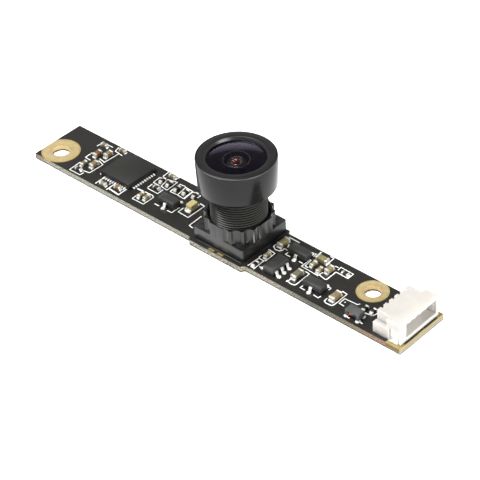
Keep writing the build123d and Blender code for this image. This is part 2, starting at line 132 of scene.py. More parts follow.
def axis_place(finish, axis):
    """Place on the piece along X, Y or Z, in millimetres."""
    return add_node(finish, "SeparateXYZ", {"Vector": on_piece(finish)}).outputs[axis]


def fraction(finish, value, low, high):
    """How far a value lies from low to high, 0 to 1."""
    return add_node(finish, "MapRange", {"Value": value, "From Min": low, "From Max": high}).outputs["Result"]


def relief(finish, shader, height, depth, strength):
    """Raise the surface by a factor times a depth in millimetres."""
    bump = add_node(finish, "Bump", {"Height": height, "Distance": depth * MM, "Strength": strength})
    feed(finish, shader.inputs["Normal"], bump.outputs["Normal"])


def dress(finish, *names):
    """Give a finish to CAD nodes."""
    for name in names:
        mesh = nodes[name].data
        mesh.materials.clear()
        mesh.materials.append(finish)


BOARD_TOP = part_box("circuit_board")[1].z / MM
BOARD_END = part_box("circuit_board")[1].x / MM
# The band at the foot of the edge is mask, widened into painted shade where the board meets the floor.
LOWER_MASK_AND_SHADE = 0.2  # shares of the thickness up to which, and from which, the edge is masked
UPPER_MASK = 0.955

board_finish, board_shader = new_finish("solder_mask_and_laminate", Roughness=0.36, Specular_IOR_Level=0.42)
board_place = on_piece(board_finish)
along = fraction(board_finish, axis_place(board_finish, "X"), -BOARD_END, BOARD_END)
laminate = shade(board_finish, along, [
    (0.0, seen(140, 108, 88)), (0.05, seen(160, 156, 138)), (0.42, seen(158, 156, 140)),
    (0.54, seen(150, 142, 120)), (0.66, seen(166, 158, 138)), (0.78, seen(78, 80, 62)),
    (0.9, seen(128, 112, 74)), (0.96, seen(158, 112, 76))])
glass_bundles = cloud(board_finish, on_piece(board_finish, (1, 1, 1.6)), 0.2, roughness=0.6)
bundle_tone = shade(board_finish, glass_bundles, [(0.42, seen(104, 102, 94)), (0.6, WHITE)])
laminate = blend(board_finish, 1.0, laminate, bundle_tone, "MULTIPLY")
tracks = add_node(board_finish, "TexBrick", {
    "Vector": on_piece(board_finish, (0.62, 1.1, 1)), "Scale": 1.0, "Brick Width": 1.3, "Row Height": 0.55,
    "Mortar Size": 0.035, "Mortar Smooth": 0.5, "Mortar": WHITE, "Color1": BLACK,
    "Color2": (0.35, 0.35, 0.35, 1)}, offset=0.37)
vias = add_node(board_finish, "TexVoronoi", {
    "Vector": on_piece(board_finish, (0.6, 0.6, 0.0)), "Scale": 1.0, "Randomness": 0.8})
via_rings = shade(board_finish, vias.outputs["Distance"], [
    (0.05, BLACK), (0.07, seen(190, 190, 190)), (0.13, seen(190, 190, 190)), (0.16, BLACK)])
copper = blend(board_finish, 1.0, tracks.outputs["Color"], via_rings, "LIGHTEN")
mask = blend(board_finish, copper, seen(31, 30, 27), seen(34, 33, 30))
mask_clouds = mottle(board_finish, board_place, 3.0, seen(215, 210, 222), WHITE)
mask = blend(board_finish, 0.5, mask, mask_clouds, "MULTIPLY")
# Dark at the foot of the edge, as mask and painted shade; masked at the top.
level = fraction(board_finish, axis_place(board_finish, "Z"), 0.0, BOARD_TOP)
mask_and_foot_shade = shade(board_finish, level, [(0.0, WHITE), (LOWER_MASK_AND_SHADE, BLACK), (UPPER_MASK, WHITE)], "CONSTANT")
feed(board_finish, board_shader.inputs["Base Color"], blend(board_finish, mask_and_foot_shade, laminate, mask))
orange_peel = cloud(board_finish, board_place, 0.25, detail=2.0)
relief(board_finish, board_shader, blend(board_finish, 0.5, copper, orange_peel), 0.012, 0.35)
dress(board_finish, "circuit_board")


# Legend: white ink screened on the mask in thin lines that frame the chips, with a few dots
# that mark first pins. The ink stands a few hundredths of a millimetre proud of the board.

INK_WIDTH = 0.16
INK_HEIGHT = 0.025

legend_lines = [
    # left of the controller
    [(-24.88, 2.14), (-24.79, 3.27), (-23.04, 3.24)],
    [(-24.28, -0.49), (-24.29, 0.72)],
    [(-24.23, -0.54), (-23.34, -0.57)],
    [(-21.58, 0.10), (-21.44, 2.74), (-22.23, 2.86), (-22.43, 3.73)],
    [(-22.61, 0.39), (-21.50, 0.26)],
    [(-21.90, 2.84), (-20.79, 2.70)],
    [(-22.35, -2.73), (-21.44, -2.55), (-21.34, -0.26), (-22.36, 0.03)],
    [(-24.03, -1.69), (-23.96, -3.66), (-22.09, -3.63), (-22.04, -3.03)],
    [(-20.24, -1.80), (-19.98, -1.84)],
    # before the controller
    [(-19.24, -3.67), (-19.26, -2.31)],
    [(-17.23, -3.72), (-17.20, -2.23)],
    [(-15.27, -3.60), (-15.30, -2.06)],
    [(-13.37, -2.26), (-13.38, -2.97), (-11.48, -2.93), (-11.45, -1.14), (-11.83, -0.91), (-13.11, -0.97)],
    # between the controller and the lens holder
    [(-13.73, 2.36), (-13.65, 1.11), (-12.61, 1.08)],
    [(-13.73, 2.36), (-12.74, 2.63)],
    [(-12.32, 1.14), (-12.68, 2.68), (-11.27, 3.03), (-11.19, 1.01), (-12.32, 1.14)],
    [(-13.46, -0.13), (-13.51, 0.79)],
    [(-13.37, -0.23), (-11.59, -0.26), (-11.62, 0.76)],
    [(-10.69, 1.08), (-10.73, 2.94), (-9.87, 3.03)],
    [(-10.69, 1.08), (-9.45, 1.13), (-9.73, 2.89)],
    [(-9.45, 1.13), (-8.38, 1.05), (-8.48, 2.86), (-9.78, 2.93)],
    [(-8.23, 1.01), (-8.39, 2.76), (-8.01, 2.89), (-7.05, 2.81), (-7.13, 2.24)],
    [(-13.58, 2.74), (-13.65, 3.92)],
    [(-11.92, 3.30), (-11.79, 3.93), (-12.37, 3.95)],
    [(-7.02, -0.36), (-7.02, -1.31), (-5.25, -1.40), (-5.23, 1.57), (-6.03, 1.60)],
    [(-8.26, -1.98), (-7.53, -1.98), (-7.48, -0.59)],
    [(-10.43, -1.97), (-9.67, -1.95)],
    [(-4.14, -0.17), (-4.05, -2.46), (-3.35, -2.56)],
    # right of the lens holder
    [(6.93, 3.53), (8.66, 3.48)],
    [(6.65, 1.50), (6.68, 0.96), (7.25, 0.67), (7.79, 0.77), (7.96, 1.12), (7.94, 1.51), (8.47, 1.46)],
    [(7.85, 2.47), (8.14, 1.88)],
    [(8.81, 1.26), (8.77, 0.75), (9.52, 0.75)],
    [(11.00, 2.90), (11.60, 3.12), (11.69, 2.51)],
    [(10.93, 0.74), (11.51, 0.73)],
    [(6.60, 0.14), (6.80, 0.17), (7.69, 0.07), (7.77, -1.63), (7.65, -1.84), (6.86, -1.81), (6.70, -1.62),
     (6.69, -1.16)],
    [(6.71, -3.72), (6.80, -1.88)],
    [(7.66, -3.75), (7.61, -1.90)],
    [(7.92, -2.94), (8.48, -3.08)],
    [(12.75, -0.20), (13.41, -0.26), (13.47, -2.60), (13.38, -2.94), (12.97, -3.01), (12.33, -2.93),
     (12.28, -2.12)],
    [(14.23, -2.37), (14.21, -2.85), (14.93, -2.85)],
    [(16.27, -2.86), (17.05, -2.93), (17.08, -2.52)],
    [(16.30, -0.62), (17.06, -0.66), (17.08, -1.08)],
    [(11.84, 2.63), (11.85, 3.80)],
    [(13.24, 3.85), (13.79, 3.81), (13.81, 3.02)],
    [(11.75, 1.88), (11.74, 0.26), (14.37, 0.12), (14.45, 0.99)],
    [(11.89, 1.86), (12.04, 0.57), (12.50, 0.54)],
    [(14.36, 0.38), (15.46, 0.15), (15.64, 0.29), (15.61, 2.00)],
    [(14.83, 2.78), (15.31, 2.83)],
    [(15.61, 2.00), (17.46, 1.98), (17.47, 2.99), (15.50, 3.05), (15.56, 2.43)],
    [(18.45, -0.23), (19.23, -0.31), (19.27, -2.72), (19.15, -3.02), (18.30, -3.07), (17.96, -2.90),
     (17.91, -2.30)],
    # round the choke and beside the connector
    [(20.33, -2.18), (19.56, -2.11), (19.54, -1.09), (21.33, -0.98), (21.51, -0.70)],
    [(21.38, -3.35), (22.20, -3.44)],
    [(23.29, -3.05), (23.95, -3.26)],
    [(22.89, -1.61), (23.96, -1.37), (24.11, -0.74)],
]
wide_strokes = [
    ([(-17.25, -3.33), (-15.32, -3.50)], 0.24),
    ([(-17.74, -2.62), (-17.66, -2.62)], 0.34),
    ([(-14.30, -1.10), (-13.25, -1.02)], 0.24),
    ([(12.16, -2.90), (12.28, -2.90)], 0.42),
    ([(19.93, -1.56), (20.03, -1.56)], 0.26),
]


def print_stroke(ink, points, width):
    """One stroke of ink through points on the board."""
    stroke = ink.splines.new("POLY")
    stroke.points.add(len(points) - 1)
    for spot, (x, y) in zip(stroke.points, points):
        spot.co = (x * MM, y * MM, 0, 1)
        spot.radius = width / INK_WIDTH


legend_ink = bpy.data.curves.new("board_legend", "CURVE")
legend_ink.dimensions = "3D"
legend_ink.bevel_depth = INK_WIDTH / 2 * MM
legend_ink.bevel_resolution = 1
legend_ink.use_fill_caps = True
for line in legend_lines:
    print_stroke(legend_ink, line, INK_WIDTH)
for line, stroke_width in wide_strokes:
    print_stroke(legend_ink, line, stroke_width)
legend = bpy.data.objects.new("board_legend", legend_ink)
bpy.context.scene.collection.objects.link(legend)
bpy.ops.object.select_all(action="DESELECT")
legend.select_set(True)
bpy.context.view_layer.objects.active = legend
bpy.ops.object.convert(target="MESH")
legend = bpy.context.object
legend.scale = (1, 1, INK_HEIGHT / INK_WIDTH * 2)
legend.location = (0, 0, BOARD_TOP * MM)
bpy.ops.object.transform_apply(location=True, rotation=True, scale=True)

ink_finish, ink_shader = new_finish("legend_ink", Roughness=0.6)
feed(ink_finish, ink_shader.inputs["Base Color"],
     mottle(ink_finish, on_piece(ink_finish), 0.4, seen(222, 224, 218), seen(250, 250, 245)))
legend.data.materials.append(ink_finish)
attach(legend, "root")


# Gold: copper lands of the two mounting holes, the ground round the connector end and two
# test pads, left free of mask and plated with a thin satin layer of nickel and gold.

plated_holes = [
    # piece, its finish, centre, radius of the hole, radius of the land
    ("board_hole_plating_left", "gold_land_left", (-27.8, -1.5), 1.2, 2.55),
    ("board_hole_plating_right", "gold_land_right", (21.2, 2.0), 1.1, 2.0),
]
END_TONE_BEGINS = 0.1  # distances from the board's end, whose wall has a tone of its own
END_TONE_FULL = 0.02
BANDS_SHOWN = 0.97  # the rest is plain gold


def axis_distance(finish, centre):
    """Distance from an upright axis, in millimetres."""
    spot = on_piece(finish, (1, 1, 0), (*centre, 0))
    return add_node(finish, "VectorMath", {0: spot}, operation="LENGTH").outputs["Value"]


def satin_gold(name):
    """Satin gold in three near tones with reddish specks: the finish, its shader and its tone."""
    finish, shader = new_finish(name, Metallic=0.6, Roughness=0.45)
    place = on_piece(finish)
    gold = shade(finish, cloud(finish, place, 0.7, detail=5.0, roughness=0.65), [
        (0.3, seen(186, 166, 117)), (0.5, seen(196, 178, 131)), (0.7, seen(205, 189, 147))])
    specks = shade(finish, cloud(finish, place, 0.12, detail=2.0), [(0.62, BLACK), (0.75, seen(90, 90, 90))])
    relief(finish, shader, cloud(finish, place, 0.09), 0.012, 0.6)
    return finish, shader, blend(finish, specks, gold, seen(208, 160, 116))


def land_finish(name, centre, hole, land):
    """Gold of a plated hole, warmer in a ring at the hole, with painted shade and a painted highlight at the
    rim and painted shadow low in the wall.
    """
    finish, shader, gold = satin_gold(name)
    reach = fraction(finish, axis_distance(finish, centre), hole, land)
    # The darker band and yellow line at the rim of the land are painted shade and a painted highlight of its
    # edge; the warmer ring near the hole is a tint of the gold.
    rings = shade(finish, reach, [
        (0.02, WHITE), (0.1, seen(255, 234, 206)), (0.2, WHITE), (0.82, WHITE), (0.9, seen(235, 222, 190)),
        (0.96, seen(255, 250, 200))])
    gold = blend(finish, 1.0, gold, rings, "MULTIPLY")
    # The wall is dark at its foot: painted shadow where the board meets the floor.
    hole_wall = shade(finish, reach, [(0.0, WHITE), (0.03, BLACK)])
    wall_tone = shade(finish, fraction(finish, axis_place(finish, "Z"), 0.0, BOARD_TOP), [
        (0.18, seen(50, 46, 38)), (0.26, seen(184, 160, 112)), (0.9, seen(200, 178, 132))])
    feed(finish, shader.inputs["Base Color"], blend(finish, hole_wall, gold, wall_tone))
    return finish


def edge_finish(name):
    """Gold round the board's end, whose walls show the layers of the board in bands over a foot of painted
    shade.
    """
    finish, shader, gold = satin_gold(name)
    height = fraction(finish, axis_place(finish, "Z"), 0.0, BOARD_TOP)
    # The dark band at the foot of each wall is painted shade where the board meets the floor.
    long_side = shade(finish, height, [
        (0.13, seen(56, 54, 50)), (0.19, seen(128, 122, 100)), (0.28, seen(104, 92, 56)),
        (0.5, seen(90, 76, 38)), (0.9, seen(98, 82, 44)), (0.97, seen(158, 138, 90))])
    end_side = shade(finish, height, [
        (0.13, seen(54, 52, 48)), (0.2, seen(176, 170, 152)), (0.4, seen(134, 128, 100)),
        (0.7, seen(142, 134, 98)), (0.97, seen(158, 138, 90))])
    at_end = fraction(finish, axis_place(finish, "X"), BOARD_END - END_TONE_BEGINS,
                      BOARD_END - END_TONE_FULL)
    bands_and_foot_shade = blend(finish, at_end, long_side, end_side)
    feed(finish, shader.inputs["Base Color"], blend(finish, BANDS_SHOWN, gold, bands_and_foot_shade))
    return finish


for plating, finish_name, centre, hole, land in plated_holes:
    dress(land_finish(finish_name, centre, hole, land), plating)
dress(edge_finish("gold_edge"), "ground_pads")


# Controller: a square chip moulded in grey-black resin without legs, with bright tin contacts
# in a row under each edge. It is soldered flat by the contacts and by a pad in the middle.

MERGE_GAP = 0.001
FLAT_ANGLE = math.radians(2)
CORNER_ANGLE = math.radians(30)
SMOOTH_ANGLE = math.radians(40)


def soften(name, width, segments=2):
    """Copy of a CAD node for the looks, its edges rounded; it stands for the node."""
    bpy.ops.object.select_all(action="DESELECT")
    piece = nodes[name].copy()
    piece.data = nodes[name].data.copy()
    piece.name = name + "_rounded"
    piece.parent = None
    for label in list(piece.keys()):
        del piece[label]
    bpy.context.scene.collection.objects.link(piece)
    piece.select_set(True)
    bpy.context.view_layer.objects.active = piece
    bpy.ops.object.mode_set(mode="EDIT")
    bpy.ops.mesh.select_all(action="SELECT")
    bpy.ops.mesh.remove_doubles(threshold=MERGE_GAP * MM)
    bpy.ops.mesh.dissolve_limited(angle_limit=FLAT_ANGLE)
    bpy.ops.object.mode_set(mode="OBJECT")
    rounding = piece.modifiers.new("rounding", "BEVEL")
    rounding.width = width * MM
    rounding.segments = segments
    rounding.limit_method = "ANGLE"
    rounding.angle_limit = CORNER_ANGLE
    rounding.use_clamp_overlap = True
    bpy.ops.object.modifier_apply(modifier=rounding.name)
    bpy.ops.object.shade_smooth_by_angle(angle=SMOOTH_ANGLE)
    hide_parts(name)
    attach(piece, "root")
    return piece


def cover(piece, finish):
    """Give a new piece its finish."""
    piece.data.materials.clear()
    piece.data.materials.append(finish)


def clouded_finish(name, low, high, lump, grain, depth, strength, detail=3.0, grain_detail=3.0,
                   span=(0.3, 0.7), **sockets):
    """Two near tones in clouds over a fine grain; lump, grain and depth are in millimetres."""
    finish, shader = new_finish(name, **sockets)
    place = on_piece(finish)
    tone = mottle(finish, place, lump, seen(*low), seen(*high), detail, span)
    feed(finish, shader.inputs["Base Color"], tone)
    relief(finish, shader, cloud(finish, place, grain, grain_detail), depth, strength)
    return finish


def tin_finish(name, tone, roughness, grain, metallic=0.6):
    """Bright tin or solder, slightly rippled and dulled in places."""
    dull = [part * 0.82 for part in tone]
    return clouded_finish(name, dull, tone, lump=grain * 3, grain=grain, depth=0.03, strength=0.8,
                          detail=4.0, grain_detail=1.0, span=(0.35, 0.6), Metallic=metallic,
                          Roughness=roughness)


controller_resin = clouded_finish("controller_resin", (25, 25, 22), (30, 30, 26), lump=1.8, grain=0.08,
                                  depth=0.012, strength=0.6, Roughness=0.55, Specular_IOR_Level=0.35)
cover(soften("controller_body", 0.05), controller_resin)
contacts = tin_finish("contact_tin", (236, 236, 231), 0.34, 0.1)
dress(contacts, "controller_contacts")

HEAP_SMOOTHING = math.radians(60)


def solder_heap(name, length, width, height, segments=20, rings=12):
    """A flat-based dome of solder at the origin, its length along Y."""
    bpy.ops.object.select_all(action="DESELECT")
    bpy.ops.mesh.primitive_uv_sphere_add(segments=segments, ring_count=rings, radius=0.5 * MM,
                                         location=(0, 0, 0))
    heap = bpy.context.object
    heap.name = name
    bpy.ops.object.mode_set(mode="EDIT")
    bpy.ops.mesh.select_all(action="SELECT")
    bpy.ops.transform.resize(value=(width, length, 2 * height), center_override=(0, 0, 0))
    bpy.ops.mesh.bisect(plane_co=(0, 0, 0), plane_no=(0, 0, 1), clear_inner=True, use_fill=True,
                        threshold=MERGE_GAP * MM)
    bpy.ops.object.mode_set(mode="OBJECT")
    return heap


def set_heaps(name, heap, spots, finish):
    """Copies of one heap on the board at each place and turn, joined to one piece."""
    heaps = []
    for x, y, heading in spots:
        copy = heap.copy()
        copy.data = heap.data.copy()
        copy.location = (x * MM, y * MM, BOARD_TOP * MM)
        copy.rotation_euler = (0, 0, heading)
        bpy.context.scene.collection.objects.link(copy)
        heaps.append(copy)
    bpy.data.objects.remove(heap)
    bpy.ops.object.select_all(action="DESELECT")
    for copy in heaps:
        copy.select_set(True)
    piece = heaps[0]
    bpy.context.view_layer.objects.active = piece
    bpy.ops.object.join()
    bpy.ops.object.transform_apply(location=True, rotation=True, scale=True)
    bpy.ops.object.shade_smooth_by_angle(angle=HEAP_SMOOTHING)
    piece.name = name
    piece.data.name = name
    cover(piece, finish)
    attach(piece, "root")


CONTACT_PITCH = 0.4
CONTACT_COUNT = 10
CONTACT_TOE = 0.18  # middle of a heap, out from the side of the body
controller_low, controller_high = (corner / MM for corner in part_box("controller_body"))
controller_middle = (controller_low + controller_high) / 2
contact_reach = (controller_high.x - controller_low.x) / 2 + CONTACT_TOE
contact_spots = []
for side in range(4):
    heading = side * math.pi / 2
    out_x, out_y = math.cos(heading), math.sin(heading)
    for index in range(CONTACT_COUNT):
        run = (index - (CONTACT_COUNT - 1) / 2) * CONTACT_PITCH
        contact_spots.append((controller_middle.x + contact_reach * out_x - run * out_y,
                              controller_middle.y + contact_reach * out_y + run * out_x,
                              heading + math.pi / 2))
contact_solder = tin_finish("contact_solder", (250, 250, 248), 0.3, 0.1, metallic=0.3)
contact_heap = solder_heap("contact_heap", length=0.44, width=0.25, height=0.17, segments=10, rings=6)
set_heaps("controller_solder", contact_heap, contact_spots, contact_solder)


# Chip capacitors: blocks of fired ceramic, grey, tan, brown or olive by their make, with a
# burnished tin cap on each end. Each is soldered between two pads in a bright fillet.

ceramics = {
    "ceramic_grey_tan": ((90, 86, 66), (124, 118, 94), ("capacitor_01",)),
    "ceramic_grey": ((76, 72, 56), (106, 101, 80), ("capacitor_18",)),
    "ceramic_orange": ((106, 74, 44), (142, 106, 70), ("capacitor_08",)),
    "ceramic_red_brown": ((80, 54, 30), (114, 82, 50), ("capacitor_02",)),
    "ceramic_brown": ((98, 84, 58), (134, 116, 86), ("capacitor_03", "capacitor_04", "capacitor_19")),
    "ceramic_tan": ((98, 91, 58), (130, 121, 84), ("capacitor_06", "capacitor_11", "capacitor_12",
                                                "capacitor_14", "capacitor_17")),
    "ceramic_dark_olive": ((80, 76, 44), (108, 102, 64), ("capacitor_05",)),
    "ceramic_green_grey": ((98, 100, 84), (130, 132, 114), ("capacitor_07",)),
    "ceramic_olive": ((104, 96, 66), (138, 128, 90), ("capacitor_09", "capacitor_10", "capacitor_13",
                                                "capacitor_15", "capacitor_16")),
}
for finish_name, (low_tone, high_tone, chips) in ceramics.items():
    ceramic = clouded_finish(finish_name, low_tone, high_tone, lump=0.35, grain=0.05, depth=0.01,
                             strength=0.6, detail=4.0, grain_detail=2.0, Roughness=0.45,
                             Specular_IOR_Level=0.5)
    for chip in chips:
        cover(soften(chip, 0.04), ceramic)

end_cap_tin = tin_finish("end_cap_tin", (226, 222, 210), 0.36, 0.12)
cover(soften("chip_end_caps", 0.05), end_cap_tin)
solder_bright = tin_finish("solder_bright", (240, 240, 237), 0.26, 0.1, metallic=0.4)
cover(soften("solder_joints", 0.035), solder_bright)


# Chip resistors: thin ceramic plates whose upper face is a black glaze, smooth and slightly
# wavy, with the same tin caps and fillets as the capacitors.

resistor_glaze = clouded_finish("resistor_glaze", (22, 22, 24), (38, 38, 40), lump=0.4, grain=0.2,
                                depth=0.02, strength=0.5, Roughness=0.22, Specular_IOR_Level=0.55)
cover(soften("resistor_bodies", 0.04), resistor_glaze)


# Power parts: three transistors with three legs and a regulator with five, moulded in black
# resin round stamped legs that are bent down to the board and tinned.

package_resin = clouded_finish("package_resin", (34, 34, 33), (46, 46, 44), lump=1.4, grain=0.09,
                               depth=0.012, strength=0.7, Roughness=0.44, Specular_IOR_Level=0.45)
leg_tin = tin_finish("leg_tin", (232, 231, 226), 0.3, 0.12)
for package in ("left_transistor", "rear_transistor", "front_transistor", "regulator"):
    cover(soften(package + "_body", 0.06), package_resin)
    cover(soften(package + "_leads", 0.025), leg_tin)


# Solder mounds: a bright heap of solder reflowed round the foot of every leg, domed at the
# toe and drawn out flat on its pad.

MOUND_LENGTH = 0.62
MOUND_WIDTH = 0.56
MOUND_HEIGHT = 0.2
LEG_PITCH = 0.95
leg_rows = [
    # middle of the package, half the run to the toes, turn of its long side, legs in front and behind
    ((-8.95, -0.9), 1.12, 0, (0,), (-1, 1)),
    ((10.3, 1.65), 1.12, 0, (0,), (-1, 1)),
    ((15.57, -1.8), 1.12, 0, (0,), (-1, 1)),
    ((9.7, -2.0), 1.27, -90, (-1, 1), (-1, 0, 1)),
]
leg_spots = []
for (middle_x, middle_y), toe, row_turn, front_legs, rear_legs in leg_rows:
    heading = math.radians(row_turn)
    for side, legs in ((-1, front_legs), (1, rear_legs)):
        for leg in legs:
            run, out = (leg if side > 0 else -leg) * LEG_PITCH, side * toe
            leg_spots.append((middle_x + run * math.cos(heading) - out * math.sin(heading),
                              middle_y + run * math.sin(heading) + out * math.cos(heading), heading))

leg_heap = solder_heap("leg_heap", MOUND_LENGTH, MOUND_WIDTH, MOUND_HEIGHT)
set_heaps("leg_solder", leg_heap, leg_spots, solder_bright)


# Indicator lamp: a clear resin block cast over a tiny chip on a pale base, with a folded
# metal terminal at each end. The chip shows through the resin in yellow, green and pink.

LAMP_TOE = 0.05  # middle of a heap, out from the end of the lamp

lamp_finish, lamp_shader = new_finish("lamp_resin", Roughness=0.2, Coat_Weight=0.5, Coat_Roughness=0.08,
                                      Subsurface_Weight=0.15, Subsurface_Scale=0.15 * MM)
lamp_place = on_piece(lamp_finish)
lamp_tone = shade(lamp_finish, cloud(lamp_finish, lamp_place, 0.38, detail=2.0), [
    (0.36, seen(176, 122, 80)), (0.44, seen(192, 180, 132)), (0.5, seen(142, 154, 86)),
    (0.56, seen(194, 180, 138)), (0.64, seen(196, 144, 126))])
feed(lamp_finish, lamp_shader.inputs["Base Color"], lamp_tone)
relief(lamp_finish, lamp_shader, cloud(lamp_finish, lamp_place, 0.3, detail=1.0), 0.03, 0.5)
cover(soften("lamp_body", 0.07, 3), lamp_finish)
dress(contacts, "lamp_terminals")
lamp_low, lamp_high = (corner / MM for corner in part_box("lamp_body"))
lamp_middle = (lamp_low + lamp_high) / 2
lamp_spots = [(lamp_middle.x, lamp_low.y - LAMP_TOE, 0), (lamp_middle.x, lamp_high.y + LAMP_TOE, 0)]
lamp_heap = solder_heap("lamp_heap", length=0.5, width=0.95, height=0.2)
set_heaps("lamp_solder", lamp_heap, lamp_spots, solder_bright)


# Choke: a ground ferrite core of two legs and a lid, wound with two enamelled wires, one red
# and one dark blue. Its four tin terminals are soldered to the board.

TERMINAL_INSET = 0.15

ferrite = clouded_finish("ferrite_grey", (54, 56, 54), (76, 79, 76), lump=1.4, grain=0.07, depth=0.012,
                         strength=0.7, Roughness=0.55, Specular_IOR_Level=0.45)
cover(soften("choke_core", 0.05), ferrite)
enamels = [
    ("choke_winding_a", "enamel_red", (150, 62, 48), (214, 122, 100), "red_wire"),
    ("choke_winding_b", "enamel_blue", (34, 44, 74), (84, 100, 140), "blue_wire"),
]
for wire, finish_name, low_tone, high_tone, slot in enamels:
    enamel = clouded_finish(finish_name, low_tone, high_tone, lump=0.16, grain=0.08, depth=0.01,
                            strength=0.5, grain_detail=1.0, span=(0.35, 0.65), Roughness=0.24,
                            Coat_Weight=0.4, Coat_Roughness=0.1)
    cover(soften(wire, 0.04, 3), enamel)
dress(contacts, "choke_terminals")
choke_low, choke_high = (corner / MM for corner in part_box("choke_terminals"))
choke_spots = [(x, y, 0) for x in (choke_low.x + TERMINAL_INSET, choke_high.x - TERMINAL_INSET)
               for y in (choke_low.y, choke_high.y)]
choke_heap = solder_heap("choke_heap", length=0.5, width=0.55, height=0.14)
set_heaps("choke_solder", choke_heap, choke_spots, solder_bright)


# Cable connector: an off-white nylon housing with a side mouth, five bent pins that leave by
# its rear and two metal tabs that hold its sides to the board.

nylon = clouded_finish("connector_nylon", (174, 171, 165), (182, 179, 174), lump=1.6, grain=0.12,
                       depth=0.01, strength=0.5, detail=4.0, grain_detail=2.0, Roughness=0.42,
                       Specular_IOR_Level=0.45, Subsurface_Weight=0.9, Subsurface_Scale=0.9 * MM,
                       Subsurface_Radius=(1.0, 0.95, 0.88))
cover(soften("connector_housing", 0.08, 3), nylon)
cover(soften("connector_pins", 0.03), leg_tin)
cover(soften("connector_tabs", 0.03), leg_tin)


# Lens holder: one black moulding, a square base over the sensor and a fluted collar with the
# threaded bore. A bead of black adhesive round its foot fixes it and keeps light out.

holder_plastic = clouded_finish("holder_plastic", (14, 14, 13), (19, 19, 18), lump=2.2, grain=0.1,
                                depth=0.012, strength=0.6, Roughness=0.3, Specular_IOR_Level=0.54)
cover(soften("lens_holder", 0.06), holder_plastic)
glue = clouded_finish("black_adhesive", (14, 14, 14), (26, 26, 27), lump=0.8, grain=0.6, depth=0.08,
                      strength=0.5, grain_detail=2.0, Roughness=0.3, Specular_IOR_Level=0.4)
cover(soften("holder_adhesive", 0.08, 3), glue)


# Image sensor: a silicon chip under its cover glass on the board, with a plate of blue-green
# glass over it that keeps infrared light out.

silicon, silicon_shader = new_finish("sensor_silicon", Roughness=0.12, Metallic=0.4)
pixels = add_node(silicon, "TexBrick", {
    "Vector": on_piece(silicon), "Scale": 4.0, "Brick Width": 0.5, "Row Height": 0.5, "Mortar Size": 0.03,
    "Mortar": seen(28, 30, 40), "Color1": seen(58, 66, 88), "Color2": seen(66, 58, 86)})
feed(silicon, silicon_shader.inputs["Base Color"], pixels.outputs["Color"])
dress(silicon, "image_sensor")


def glass_finish(name, tone, coating, index=1.52):
    """Clear glass with a coating that tints what it mirrors."""
    finish, shader = new_finish(name, Roughness=0.0, IOR=index, Transmission_Weight=1.0)
    place = on_piece(finish)
    clearer = [min(1.0, part * 1.04) for part in tone]
    feed(finish, shader.inputs["Base Color"], mottle(finish, place, 3.0, tone, clearer))
    feed(finish, shader.inputs["Specular Tint"], shade(finish, cloud(finish, place, 4.0), coating))
    return finish


cover_coating = [(0.3, seen(235, 235, 240)), (0.7, seen(245, 245, 250))]
filter_coating = [(0.3, seen(240, 180, 180)), (0.7, seen(245, 200, 190))]
dress(glass_finish("cover_glass", (0.97, 0.98, 0.98, 1), cover_coating), "sensor_cover_glass")
dress(glass_finish("filter_glass", (0.62, 0.86, 0.88, 1), filter_coating), "infrared_filter")


# Lens barrel: one piece turned from brass and blackened, a threaded body below a larger head
# with a rounded rim. It is screwed into the holder, focused, and locked with adhesive.

LENS = (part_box("lens_barrel")[0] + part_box("lens_barrel")[1]) / 2 / MM
BARREL_END = 3.2
HEAD_BOTTOM = 8.6
RIM_TOP = 12.68
HEAD_LOW = 4.84
HEAD_HIGH = 4.96
THREAD_CREST = 3.5
THREAD_ROOT = 3.26
THREAD_PITCH = 0.35
BORE = 2.92
RIM_BORE = 4.81
GLASS_BORE = 4.32
REAR_BORE = 2.3
LEDGE_TOP = 3.9
GLASS_SEAT = 11.36
GLASS_TOP = 12.26
FINE_GAP = 0.0005
EDGE_ANGLE = math.radians(28)


def turned(name, profile, steps=192, first_pole=None, last_pole=None):
    """A turned piece: a ring is drawn at the first point and extruded from point to point.

    A profile with poles is closed on its axis at their levels; any other is closed on itself.
    """
    x, y = LENS.x * MM, LENS.y * MM
    bpy.ops.object.select_all(action="DESELECT")
    radius, height = profile[0]
    bpy.ops.mesh.primitive_circle_add(vertices=steps, radius=radius * MM, fill_type="NOTHING",
                                      location=(x, y, height * MM))
    piece = bpy.context.object
    piece.name = name
    bpy.ops.object.mode_set(mode="EDIT")
    bpy.ops.mesh.select_mode(type="VERT")

    def next_ring(start, end):
        bpy.ops.mesh.extrude_region_move(TRANSFORM_OT_translate={"value": (0, 0, (end[1] - start[1]) * MM)})
        share = end[0] / start[0]
        bpy.ops.transform.resize(value=(share, share, 1), center_override=(x, y, end[1] * MM))

    def close_on_axis(start, pole):
        bpy.ops.mesh.extrude_region_move(TRANSFORM_OT_translate={"value": (0, 0, (pole - start) * MM)})
        bpy.ops.mesh.merge(type="CENTER")

    bpy.ops.mesh.select_all(action="SELECT")
    if first_pole is not None:
        close_on_axis(profile[0][1], first_pole)
        bpy.ops.mesh.select_all(action="DESELECT")
        bpy.ops.object.mode_set(mode="OBJECT")
        for vertex in piece.data.vertices:
            vertex.select = math.hypot(vertex.co.x, vertex.co.y) > radius / 2 * MM
        bpy.ops.object.mode_set(mode="EDIT")
    closing = [] if first_pole is not None else [profile[0]]
    for start, end in zip(profile, profile[1:] + closing):
        next_ring(start, end)
    if last_pole is not None:
        close_on_axis(profile[-1][1], last_pole)
    bpy.ops.mesh.select_all(action="SELECT")
    bpy.ops.mesh.remove_doubles(threshold=FINE_GAP * MM)
    bpy.ops.mesh.normals_make_consistent(inside=False)
    bpy.ops.object.mode_set(mode="OBJECT")
    bpy.ops.object.transform_apply(location=True, rotation=True, scale=True)
    return piece


